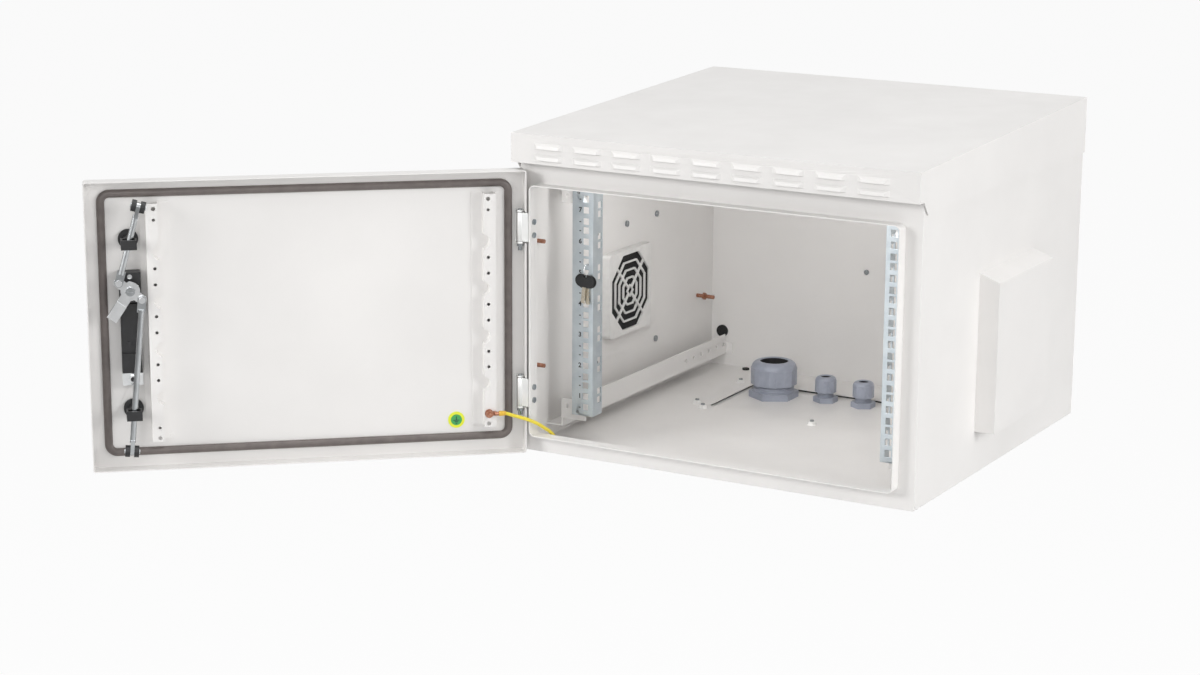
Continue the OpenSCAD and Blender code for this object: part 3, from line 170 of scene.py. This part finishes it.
def make_camera():
    """Long lens at the photograph's angle."""
    back = Vector((math.sin(AZIMUTH) * math.cos(ELEVATION), -math.cos(AZIMUTH) * math.cos(ELEVATION),
                   math.sin(ELEVATION)))
    right = (-back).cross(Vector((0, 0, 1))).normalized()
    up = right.cross(-back)
    right, up = (math.cos(ROLL) * right + math.sin(ROLL) * up,
                 math.cos(ROLL) * up - math.sin(ROLL) * right)
    data = bpy.data.cameras.new("camera")
    data.lens = FOCAL
    data.clip_end = CLIP_END
    camera = bpy.data.objects.new("camera", data)
    bpy.context.scene.collection.objects.link(camera)
    turn = Matrix((right, up, back)).transposed()
    camera.matrix_world = Matrix.Translation(CAMERA_AT) @ turn.to_4x4()
    bpy.context.scene.camera = camera


def linear(code):
    """An sRGB hex colour as linear RGBA."""
    parts = [int(code[i:i + 2], 16) / 255 for i in (1, 3, 5)]
    return [p / 12.92 if p <= 0.04045 else ((p + 0.055) / 1.055) ** 2.4 for p in parts] + [1]


def per_mm(size):
    """Noise scale in object space whose features are about size millimetres."""
    return 1 / (size * MM)


def add(tree, kind, sockets=(), **settings):
    """Adds a node, sets its settings, and sets or links its input sockets."""
    made = tree.nodes.new(kind)
    for name, value in settings.items():
        setattr(made, name, value)
    for name, value in dict(sockets).items():
        if isinstance(value, bpy.types.NodeSocket):
            tree.links.new(value, made.inputs[name])
        else:
            made.inputs[name].default_value = value
    return made


def start(name, constants):
    """A new material: its tree, its surface shader with the constants set, and object coordinates."""
    material = bpy.data.materials.new(name)
    material.use_nodes = True
    tree = material.node_tree
    tree.nodes.clear()
    shader = add(tree, "ShaderNodeBsdfPrincipled", constants)
    add(tree, "ShaderNodeOutputMaterial", {"Surface": shader.outputs["BSDF"]})
    place = add(tree, "ShaderNodeTexCoord").outputs["Object"]
    return material, tree, shader, place


def cloudy(tree, place, size, low=0, high=1, detail=3):
    """A noise of one size in millimetres, mapped between two values."""
    noise = add(tree, "ShaderNodeTexNoise", {"Vector": place, "Scale": per_mm(size), "Detail": detail})
    ramp = add(tree, "ShaderNodeMapRange", {"Value": noise.outputs["Fac"], "From Min": 0.3, "From Max": 0.7,
                                            "To Min": low, "To Max": high})
    return ramp.outputs["Result"]


def coloured(tree, shader, factor, first, second):
    """Gives the shader a colour between two hex colours."""
    mix = add(tree, "ShaderNodeMix", {"Factor": factor}, data_type="RGBA")
    mix.inputs[6].default_value = linear(first)
    mix.inputs[7].default_value = linear(second)
    tree.links.new(mix.outputs[2], shader.inputs["Base Color"])


def roughened(tree, shader, value):
    """Gives the shader a roughness that varies."""
    tree.links.new(value, shader.inputs["Roughness"])


def bumped(tree, shader, height, depth, strength):
    """Gives the shader a bump of a depth in millimetres."""
    bump = add(tree, "ShaderNodeBump", {"Height": height, "Distance": depth * MM, "Strength": strength})
    tree.links.new(bump.outputs["Normal"], shader.inputs["Normal"])


def powder_coated_steel():
    """Polyester powder coat on sheet steel: fine orange peel and a satin sheen, near-white grey."""
    material, tree, shader, place = start("powder_coated_steel", {"IOR": 1.5})
    coloured(tree, shader, cloudy(tree, place, 160), "#ECEAE8", "#E7E5E3")
    roughened(tree, shader, cloudy(tree, place, 40, 0.36, 0.46))
    # Real orange peel is about 0.6 mm across; it is drawn at 1.6 mm so that it shows at all
    bumped(tree, shader, cloudy(tree, place, 1.6, detail=2), depth=0.05, strength=0.6)
    return material


def zinc_plated_steel(name, first, second, rough):
    """Passivated zinc plate: a fine-grained metal with a bluish cloudy tone."""
    material, tree, shader, place = start(name, {"Metallic": 1.0})
    coloured(tree, shader, cloudy(tree, place, 24, detail=6), first, second)
    roughened(tree, shader, cloudy(tree, place, 9, rough - 0.05, rough + 0.06))
    bumped(tree, shader, cloudy(tree, place, 1.2), depth=0.03, strength=0.5)
    return material


def moulded_nylon(name, first, second, rough):
    """Injection-moulded nylon or ABS: slightly glossy plastic with a fine spark-eroded grain."""
    material, tree, shader, place = start(name, {"IOR": 1.53})
    coloured(tree, shader, cloudy(tree, place, 12), first, second)
    roughened(tree, shader, cloudy(tree, place, 4, rough - 0.05, rough + 0.08))
    bumped(tree, shader, cloudy(tree, place, 0.9, detail=2), depth=0.03, strength=0.5)
    return material


def foamed_gasket_rubber():
    """Foamed polyurethane gasket: warm grey, with the slightly wavy satin skin of a poured bead."""
    material, tree, shader, place = start("foamed_gasket_rubber", {"IOR": 1.5})
    coloured(tree, shader, cloudy(tree, place, 14), "#625B58", "#6F6764")
    roughened(tree, shader, cloudy(tree, place, 9, 0.32, 0.42))
    bumped(tree, shader, cloudy(tree, place, 8, detail=2), depth=0.2, strength=0.5)
    return material


def vulcanised_rubber():
    """Black moulded EPDM rubber: matt, with a faint bloom."""
    material, tree, shader, place = start("vulcanised_rubber", {"Roughness": 0.68, "IOR": 1.52})
    coloured(tree, shader, cloudy(tree, place, 8), "#191919", "#232322")
    bumped(tree, shader, cloudy(tree, place, 1.5, detail=2), depth=0.05, strength=0.6)
    return material


def reticulated_foam():
    """Open-cell filter foam: black, with cells about 1.5 mm across and painted shade in their hollow
    middles.
    """
    material, tree, shader, place = start("reticulated_foam", {"Roughness": 0.9})
    cells = add(tree, "ShaderNodeTexVoronoi", {"Vector": place, "Scale": per_mm(1.5)}, feature="F1")
    # The cells are darker where they are deepest: painted shade, keyed to the same depth as the bump
    coloured(tree, shader, cells.outputs["Distance"], "#060606", "#1E1E1E")
    bumped(tree, shader, cells.outputs["Distance"], depth=0.8, strength=1.0)
    return material


def nickel_plated_brass():
    """Cut brass key blade with a bright worn plate."""
    material, tree, shader, place = start("nickel_plated_brass", {"Metallic": 1.0, "Roughness": 0.34})
    coloured(tree, shader, cloudy(tree, place, 3), "#B9AF9C", "#CFC8B9")
    bumped(tree, shader, cloudy(tree, place, 0.8), depth=0.02, strength=0.5)
    return material


def copper_flashed_steel():
    """Copper-flashed weld studs: warm, slightly tarnished metal with a fine thread."""
    material, tree, shader, place = start("copper_flashed_steel", {"Metallic": 1.0, "Roughness": 0.38})
    coloured(tree, shader, cloudy(tree, place, 2.5), "#9A6850", "#C0907A")
    # The real thread is 1 mm apart; its bands are drawn 2 mm apart so that they show
    band_scale = per_mm(1.0) / 6.3
    bands = add(tree, "ShaderNodeTexWave", {"Vector": place, "Scale": band_scale, "Distortion": 0.0},
                bands_direction="X")
    bumped(tree, shader, bands.outputs["Fac"], depth=0.25, strength=0.8)
    return material


def smooth_vinyl(name, code):
    """Extruded or calendered vinyl: one even colour and a little waxy."""
    material, tree, shader, place = start(name, {"Base Color": linear(code), "IOR": 1.53})
    roughened(tree, shader, cloudy(tree, place, 5, 0.3, 0.4))
    bumped(tree, shader, cloudy(tree, place, 2), depth=0.03, strength=0.4)
    return material


def printing_ink(name, first, second):
    """Screen-printed ink: thin, matt and slightly uneven."""
    material, tree, shader, place = start(name, {"Roughness": 0.55})
    coloured(tree, shader, cloudy(tree, place, 3), first, second)
    return material


def make_materials():
    """Every material of the cabinet, by its short name."""
    return {
        "powder": powder_coated_steel(),
        "blue_zinc": zinc_plated_steel("blue_zinc_plated_steel", "#C2CBD1", "#D3DADE", 0.46),
        "pale_zinc": zinc_plated_steel("pale_zinc_plated_steel", "#DCDDDC", "#E8E8E6", 0.44),
        # A lighter copy of the zinc plate: a painted highlight on the cam and lock parts
        "zinc_painted_highlight": zinc_plated_steel("zinc_plated_steel_painted_highlight", "#E6E8E9", "#F2F3F4", 0.18),
        "screw_zinc": zinc_plated_steel("screw_zinc_plated_steel", "#9CA1A4", "#AEB2B5", 0.24),
        # A darker copy of the same zinc plate: painted dark reflection on the rods, which the lamps streak
        # with highlights
        "zinc_painted_dark_reflection": zinc_plated_steel("zinc_plated_steel_painted_dark_reflection", "#B2B5B7", "#C6C9CB", 0.16),
        "black_nylon": moulded_nylon("black_moulded_nylon", "#151516", "#1F1F21", 0.42),
        "guard_abs": moulded_nylon("pale_moulded_abs", "#DEDDDB", "#E6E5E3", 0.5),
        "white_nylon": moulded_nylon("white_moulded_nylon", "#E9E8E6", "#F0EFED", 0.45),
        "foam": reticulated_foam(),
        "gland_nylon": moulded_nylon("slate_moulded_nylon", "#999EAC", "#A5AAB7", 0.34),
        "rubber": vulcanised_rubber(),
        "gasket": foamed_gasket_rubber(),
        "brass": nickel_plated_brass(),
        "copper": copper_flashed_steel(),
        "label": smooth_vinyl("yellow_vinyl_label", "#E4EA3C"),
        "yellow_vinyl": smooth_vinyl("yellow_vinyl", "#E8D43A"),
        "green_vinyl": smooth_vinyl("green_vinyl", "#6FA53C"),
        "amber_vinyl": smooth_vinyl("amber_vinyl", "#E2B43A"),
        "black_ink": printing_ink("black_screen_ink", "#1C1C1E", "#2A2A2C"),
        "green_ink": printing_ink("green_screen_ink", "#46A85C", "#3F9E55"),
        "dark_green_ink": printing_ink("dark_green_screen_ink", "#17403A", "#1D4A42"),
    }


def new_object(name, mesh, material, body):
    """Links a mesh as a piece that rides on a body."""
    made = bpy.data.objects.new(name, mesh)
    bpy.context.scene.collection.objects.link(made)
    mesh.materials.append(material)
    if body:
        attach(made, body)
    return made


def as_mesh(name, shape):
    """A named mesh of what a bmesh holds, which is then freed."""
    made = bpy.data.meshes.new(name)
    shape.to_mesh(made)
    shape.free()
    return made


def ring(centre, across, other, radius, sides):
    """Points of a circle round a centre, in the plane of two unit vectors."""
    return [centre + radius * (math.cos(a) * across + math.sin(a) * other)
            for a in (2 * math.pi * k / sides for k in range(sides))]


def ringed_mesh(name, rings, striped=0):
    """A closed mesh through rings of points, with the first of its sides in the second material."""
    shape = bmesh.new()
    rows = [[shape.verts.new(point) for point in points] for points in rings]
    sides = len(rows[0])
    for first, second in zip(rows, rows[1:]):
        for k in range(sides):
            after = (k + 1) % sides
            face = shape.faces.new((first[k], first[after], second[after], second[k]))
            face.smooth = True
            face.material_index = 1 if k < striped else 0
    shape.faces.new(list(reversed(rows[0])))
    shape.faces.new(rows[-1])
    bmesh.ops.recalc_face_normals(shape, faces=shape.faces)
    return as_mesh(name, shape)


def turned_mesh(name, profile, sides):
    """A closed body turned round the Y axis from (distance along Y, radius) pairs."""
    across, up = Vector((1, 0, 0)), Vector((0, 0, 1))
    return ringed_mesh(name, [ring(Vector((0, along, 0)), across, up, radius, sides)
                              for along, radius in profile])


def smooth_path(points, steps):
    """Points of a Catmull-Rom curve through the given points."""
    ends = [2 * points[0] - points[1]] + points + [2 * points[-1] - points[-2]]
    made = []
    for a, b, c, d in zip(ends, ends[1:], ends[2:], ends[3:]):
        for step in range(steps):
            t = step / steps
            made.append(0.5 * ((2 * b) + (c - a) * t + (2 * a - 5 * b + 4 * c - d) * t ** 2
                               + (3 * b - a - 3 * c + d) * t ** 3))
    return made + [points[-1]]


def tube_mesh(name, path, radius, sides):
    """A closed tube along a path, with a quarter of its sides in the second material."""
    rings = []
    across = Vector((0, 0, 1)).cross(path[1] - path[0]).normalized()
    for i, point in enumerate(path):
        along = (path[min(i + 1, len(path) - 1)] - path[max(i - 1, 0)]).normalized()
        across = (across - across.dot(along) * along).normalized()
        rings.append(ring(point, across, along.cross(across), radius, sides))
    return ringed_mesh(name, rings, striped=sides // 4)


def make_lead(materials):
    """The earth lead: yellow with a green stripe, from the door to the floor."""
    path = smooth_path([placed(Vector(p) * MM) for p in LEAD_PATH], 4)
    lead = new_object("earth_lead_sleeve", tube_mesh("earth_lead_sleeve", path, LEAD_DIAMETER / 2, 16),
                      materials["yellow_vinyl"], None)
    lead.data.materials.append(materials["green_vinyl"])
    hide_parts("earth_lead")
    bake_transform(lead)


def make_terminal_boot(materials):
    """Tapered sleeve over the crimped barrel of the lead, on the door."""
    mesh = turned_mesh("terminal_boot", [(along * MM, radius * MM) for along, radius in BOOT_PROFILE], 20)
    mesh.transform(on_door(DOOR_BARREL) @ Matrix.Rotation(math.radians(90), 4, "Z"))
    new_object("terminal_boot", mesh, materials["amber_vinyl"], "door")


def make_disc_print(materials):
    """The earthing mark printed on the round label: a green field and the plain earth sign."""
    field = turned_mesh("label_field", [(0, FIELD_R), (FIELD_INK, FIELD_R)], 40)
    field.transform(on_door(DISC))
    new_object("label_field", field, materials["green_ink"], "door")
    shape = bmesh.new()
    for x, z, width, height in EARTH_SIGN:
        bar = bmesh.ops.create_cube(shape, size=1)["verts"]
        bmesh.ops.scale(shape, vec=(width * MM, SIGN_INK, height * MM), verts=bar)
        bmesh.ops.translate(shape, vec=(x * MM, SIGN_INK / 2, z * MM), verts=bar)
    sign = as_mesh("label_sign", shape)
    sign.transform(on_door(DISC))
    new_object("label_sign", sign, materials["dark_green_ink"], "door")


def make_hole_shade_discs(materials):
    """Thin black discs inside the four wall-fixing grommets: painted shade that makes their holes read dark.
    """
    for side in (-1, 1):
        for level, height in zip(("lower", "upper"), FIXING_Z):
            name = level + ("_left" if side < 0 else "_right") + "_shade_disc"
            mesh = turned_mesh(name, [(0, SHADE_DISC_R), (SHADE_DISC_T, SHADE_DISC_R)], 24)
            mesh.transform(Matrix.Translation(placed((side * FIXING_X, BODY_D - SHADE_DISC_IN, height))))
            # A black rubber disc that stands in for the shade inside the hole
            new_object(name, mesh, materials["rubber"], "cabinet")


def figure_mesh(words):
    """Generic figures as a thin mesh in the X-Y plane, centred."""
    curve = bpy.data.curves.new("mark", "FONT")
    curve.body = words
    curve.size = FIGURE_HEIGHT
    curve.align_x = "CENTER"
    curve.align_y = "CENTER"
    curve.extrude = FIGURE_INK
    curve.offset = FIGURE_BOLD
    curve.resolution_u = 3
    holder = bpy.data.objects.new("mark_text", curve)
    bpy.context.scene.collection.objects.link(holder)
    bpy.context.view_layer.update()
    mesh = bpy.data.meshes.new_from_object(holder.evaluated_get(bpy.context.evaluated_depsgraph_get()))
    bpy.data.objects.remove(holder)
    return mesh


def make_rail_marks(materials):
    """Plain unit numbers and tick marks printed on the rack rails."""
    upright = Matrix.Rotation(math.radians(90), 4, "X")
    for side, name in ((-1, "left_rail_marks"), (1, "right_rail_marks")):
        marks = bmesh.new()
        for unit in range(RACK_UNITS):
            for hole, words in zip(UNIT_HOLES, ("-", str(unit + 1), "-")):
                height = RACK_Z + unit * RACK_UNIT + hole
                at = placed((side * NUMBER_X, RACK_Y - FIGURE_PROUD, height))
                mesh = figure_mesh(words)
                mesh.transform(Matrix.Translation(at) @ upright)
                marks.from_mesh(mesh)
                bpy.data.meshes.remove(mesh)
        piece = new_object(name, as_mesh(name, marks), materials["black_ink"], "cabinet")


def dress_cad(materials):
    """Gives every CAD node its material, and a small round to the edges that show."""
    for look, names in CAD_LOOKS.items():
        for name in names:
            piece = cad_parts[name]
            piece.data.materials.clear()
            piece.data.materials.append(materials[look])
            if name in EDGE_ROUNDS:
                weld = piece.modifiers.new("weld", "WELD")
                weld.merge_threshold = WELD_WITHIN
                rounding = piece.modifiers.new("edge_round", "BEVEL")
                rounding.width = EDGE_ROUNDS[name] * MM
                rounding.segments = 2
                rounding.limit_method = "ANGLE"
                rounding.angle_limit = ROUNDED_FROM
                rounding.harden_normals = True


def make_stage():
    """A plain pale floor well below the cabinet, white to the camera but for a faint shadow."""
    mesh = bpy.data.meshes.new("floor")
    corners = [(x * FLOOR_HALF, y * FLOOR_HALF, FLOOR_Z) for x, y in ((-1, -1), (1, -1), (1, 1), (-1, 1))]
    mesh.from_pydata(corners, [], [(0, 1, 2, 3)])
    material = bpy.data.materials.new("matt_paper")
    material.use_nodes = True
    tree = material.node_tree
    tree.nodes.clear()
    paper = add(tree, "ShaderNodeBsdfDiffuse", {"Color": linear("#F2F2F2")})
    white = add(tree, "ShaderNodeEmission", {"Color": linear("#FFFFFF"), "Strength": 1.0})
    path = add(tree, "ShaderNodeLightPath")
    camera = add(tree, "ShaderNodeMath", {0: path.outputs["Is Camera Ray"], 1: FLOOR_WHITE},
                 operation="MULTIPLY")
    mix = add(tree, "ShaderNodeMixShader",
              {"Fac": camera.outputs[0], 1: paper.outputs[0], 2: white.outputs[0]})
    add(tree, "ShaderNodeOutputMaterial", {"Surface": mix.outputs[0]})
    floor = new_object("floor", mesh, material, None)


def make_light():
    """A pale world, four large soft lamps, and a weak strip over the door opening that fills the inside."""
    world = bpy.data.worlds.new("world")
    bpy.context.scene.world = world
    world.use_nodes = True
    tree = world.node_tree
    tree.nodes.clear()
    path = add(tree, "ShaderNodeLightPath")
    mirrored = add(tree, "ShaderNodeMath",
                   {0: path.outputs["Is Glossy Ray"], 1: path.outputs["Is Transmission Ray"]},
                   operation="MAXIMUM")
    seen = add(tree, "ShaderNodeMath", {0: path.outputs["Is Camera Ray"], 1: mirrored.outputs[0]},
               operation="MAXIMUM")
    strength = add(tree, "ShaderNodeMapRange", {"Value": seen.outputs[0], "To Min": AMBIENT, "To Max": 1.0})
    sky = add(tree, "ShaderNodeBackground",
              {"Color": linear("#FFFFFF"), "Strength": strength.outputs["Result"]})
    add(tree, "ShaderNodeOutputWorld", {"Surface": sky.outputs[0]})
    for name, (at, aim, width, height, power) in LAMPS.items():
        data = bpy.data.lights.new(name, "AREA")
        data.energy = power
        data.shape = "RECTANGLE"
        data.size = width
        data.size_y = height
        lamp = bpy.data.objects.new(name, data)
        bpy.context.scene.collection.objects.link(lamp)
        lamp.location = at
        lamp.rotation_euler = (Vector(aim) - Vector(at)).to_track_quat("-Z", "Y").to_euler()


make_camera()
MATERIALS = make_materials()
make_lead(MATERIALS)
dress_cad(MATERIALS)
make_rail_marks(MATERIALS)
make_terminal_boot(MATERIALS)
make_disc_print(MATERIALS)
make_hole_shade_discs(MATERIALS)
make_stage()
make_light()
bpy.context.scene.view_settings.view_transform = "Standard"
